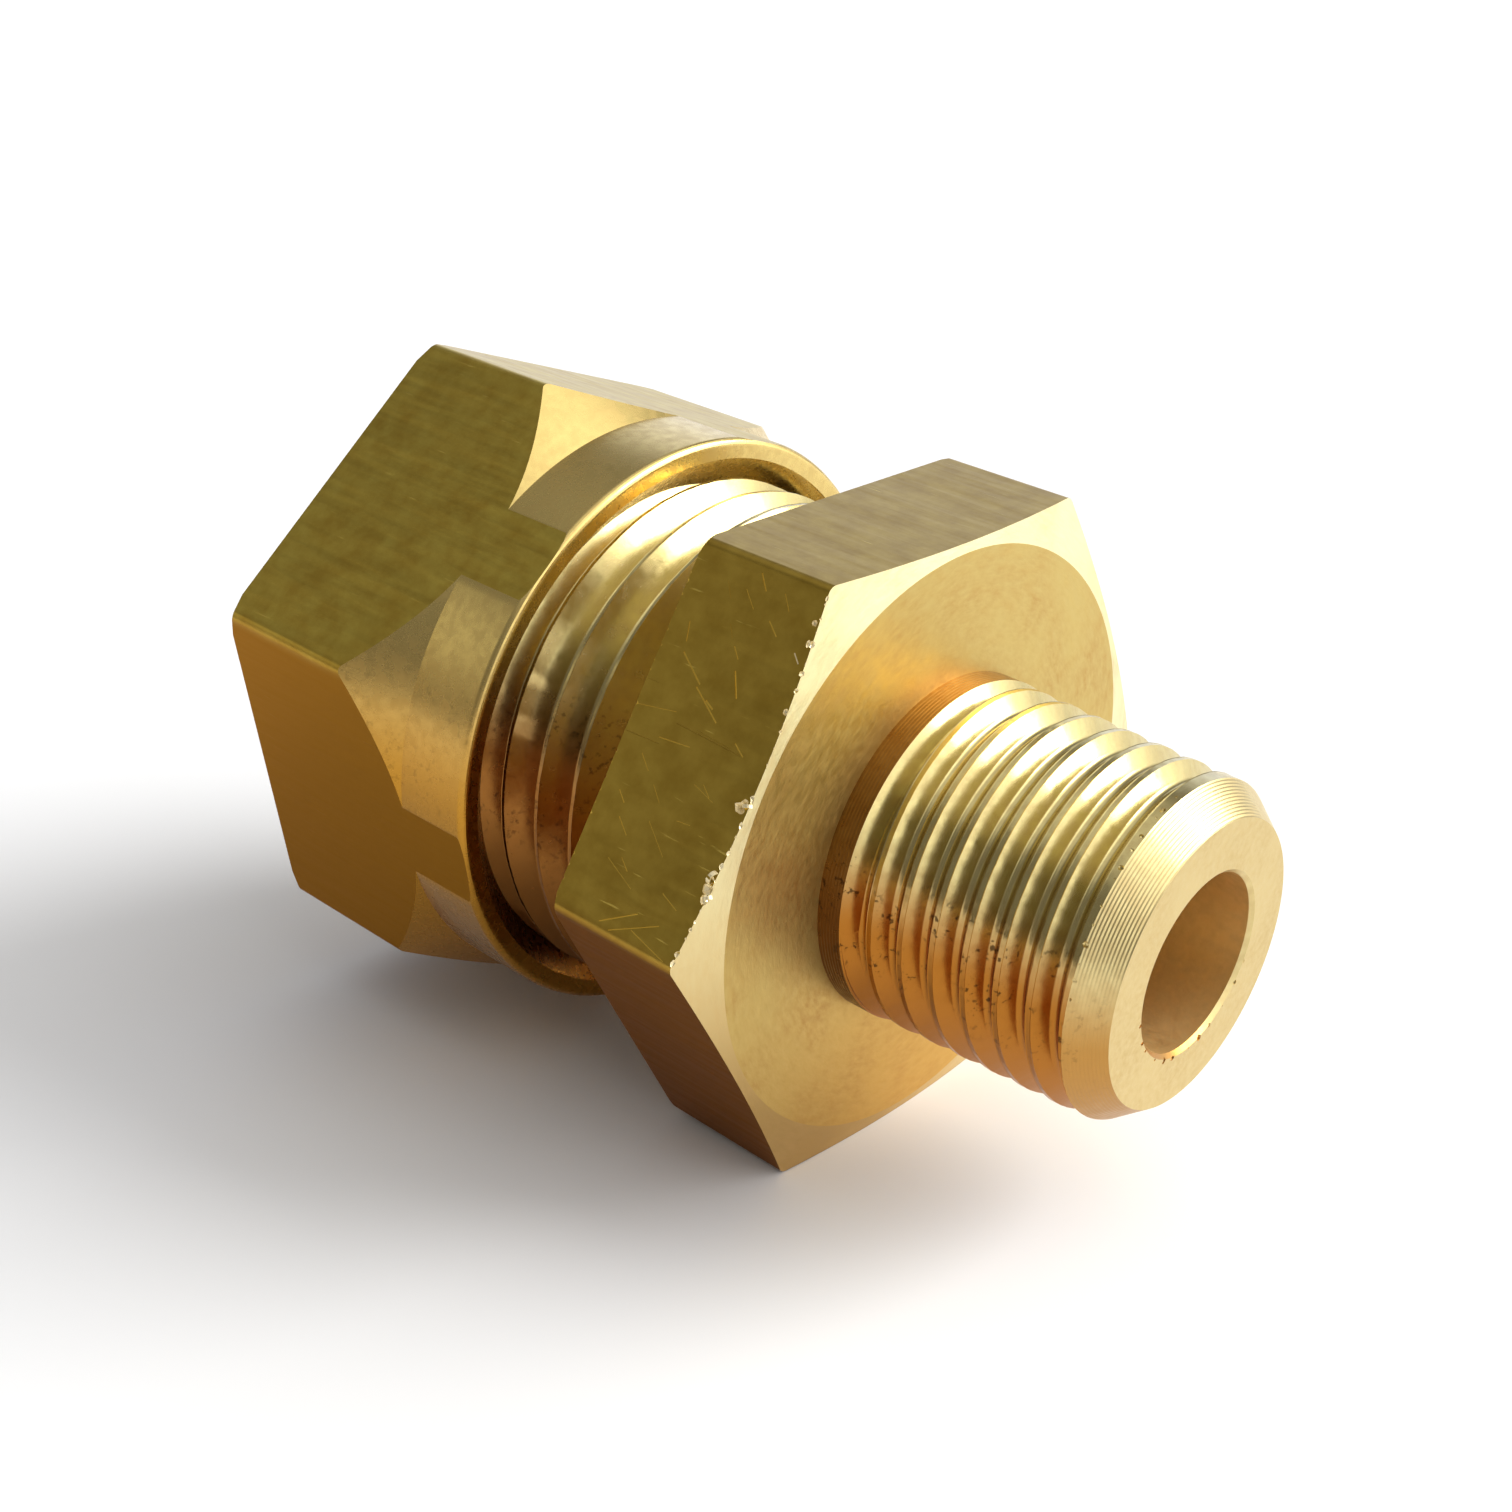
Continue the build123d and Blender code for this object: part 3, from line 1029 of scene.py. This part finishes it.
# %% Settle the nut, and give the CAD olive its brass
settle(
    nut, "compression_nut",
    [
        (nut_flats, lambda along, radius, normal: on_flat(along, radius, normal) and along < -16),
        (nut_turned, always),
    ],
)
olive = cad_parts["olive"]
olive.data.materials.clear()
olive.data.materials.append(olive_brass)

# %% [markdown]
# ## Floor
# The fitting lies on a white table on two corners, so the table tilts by about 4.6 degrees
# against the fitting's axis. A matt white keeps the soft shadow and bounces some light up.

# %% Floor
TABLE_SLOPE = 0.0813
TABLE_UNDER = (-0.0001, 0, -0.01202)  # metres: the table's middle, under the axis
bpy.ops.object.select_all(action="DESELECT")
bpy.ops.mesh.primitive_plane_add(size=6)
table = bpy.context.object
table.name = "table"
table.data.transform(
    Matrix.Translation(TABLE_UNDER) @ Matrix.Rotation(-math.atan(TABLE_SLOPE), 4, "Y")
)
table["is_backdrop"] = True
table_white = bpy.data.materials.new("table_matt_white")
table_white.use_nodes = True
matt = table_white.node_tree.nodes["Principled BSDF"]
matt.inputs["Base Color"].default_value = srgb("#f4f4f4")
matt.inputs["Roughness"].default_value = 1.0
table.data.materials.append(table_white)
print("table tilts by", round(math.degrees(math.atan(TABLE_SLOPE)), 2), "degrees")

# %% [markdown]
# ## Light
# Metal shows what is round it, so it needs something to reflect. The world is a dim warm room
# with four soft patches of light, placed where the flats and the threads mirror them. One wide
# sun, like a big window, gives the even light and the single soft shadow.

# %% Patches of light in the room


def heading(azimuth, height):
    """A direction from its angle round from the axis and its height above level, in degrees."""
    a, h = math.radians(azimuth), math.radians(height)
    return Vector((math.cos(h) * math.cos(a), math.cos(h) * math.sin(a), math.sin(h)))


def glow(tree, towards, full, gone, strength, colour):
    """A soft patch of light in one direction. full and gone are angles from its middle."""
    way = add(tree, "TexCoord")
    nearness = add(
        tree, "VectorMath", {"operation": "DOT_PRODUCT", 1: tuple(towards)},
        {0: way.outputs["Generated"]},
    )
    amount = add(
        tree, "MapRange",
        {
            "interpolation_type": "SMOOTHSTEP", "From Min": math.cos(math.radians(gone)),
            "From Max": math.cos(math.radians(full)), "To Max": strength,
        },
        {"Value": nearness},
    )
    return add(tree, "Background", {"Color": colour}, {"Strength": amount})


world = bpy.data.worlds.new("studio")
bpy.context.scene.world = world
world.use_nodes = True
tree = world.node_tree
tree.nodes.clear()
total = add(tree, "Background", {"Color": (1, 0.97, 0.92, 1), "Strength": 0.20})
for patch in (
    glow(tree, heading(26, 17), 36, 66, 1.35, (1, 1, 1, 1)),
    glow(tree, heading(128, 4), 8, 38, 1.25, (0.68, 0.76, 1, 1)),
    glow(tree, heading(-150, 14), 5, 22, 0.6, (1, 0.95, 0.75, 1)),
    glow(tree, heading(0, 88), 22, 48, 0.6, (1, 1, 1, 1)),
):
    total = add(tree, "AddShader", None, {0: total, 1: patch})
add(tree, "OutputWorld", None, {"Surface": total})
print("room:", len(tree.nodes), "nodes")

# %% Window
bpy.ops.object.select_all(action="DESELECT")
bpy.ops.object.light_add(type="SUN")
window = bpy.context.object
window.name = "window"
window.data.energy = 3.0
window.data.angle = math.radians(36)
window.rotation_euler = (-heading(46, 33)).to_track_quat("-Z", "Y").to_euler()
print("window strength:", window.data.energy)

# %% [markdown]
# ## Camera
# A short distance and a 51 mm lens give a strong perspective: the stem, which is nearest,
# looks large. The camera's place is set by its three axes, each as a direction in the scene.

# %% Camera
view = bpy.data.cameras.new("camera")
camera = bpy.data.objects.new("camera", view)
bpy.context.scene.collection.objects.link(camera)
view.sensor_width = 36
view.lens = 50.90
view.clip_start = 0.002
eye = (0.0401936, -0.0581716, 0.0384972)
right = Vector((0.74061547, 0.66899634, 0.06271058))
up = Vector((-0.34343674, 0.29667427, 0.89108674))
back = Vector((0.57752916, -0.68148975, 0.44947948))
turned_to = Matrix((right, up, back)).transposed().to_4x4()
camera.matrix_world = Matrix.Translation(eye) @ turned_to
bpy.context.scene.camera = camera
bpy.context.scene.view_settings.view_transform = "Standard"
print("camera to axis in mm:", round(Vector(eye).length / MM, 1))

# %% Sizes and finish
visual_box = [list(corner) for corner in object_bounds()]
print("visual box in mm:", [[round(c / MM, 2) for c in corner] for corner in visual_box])
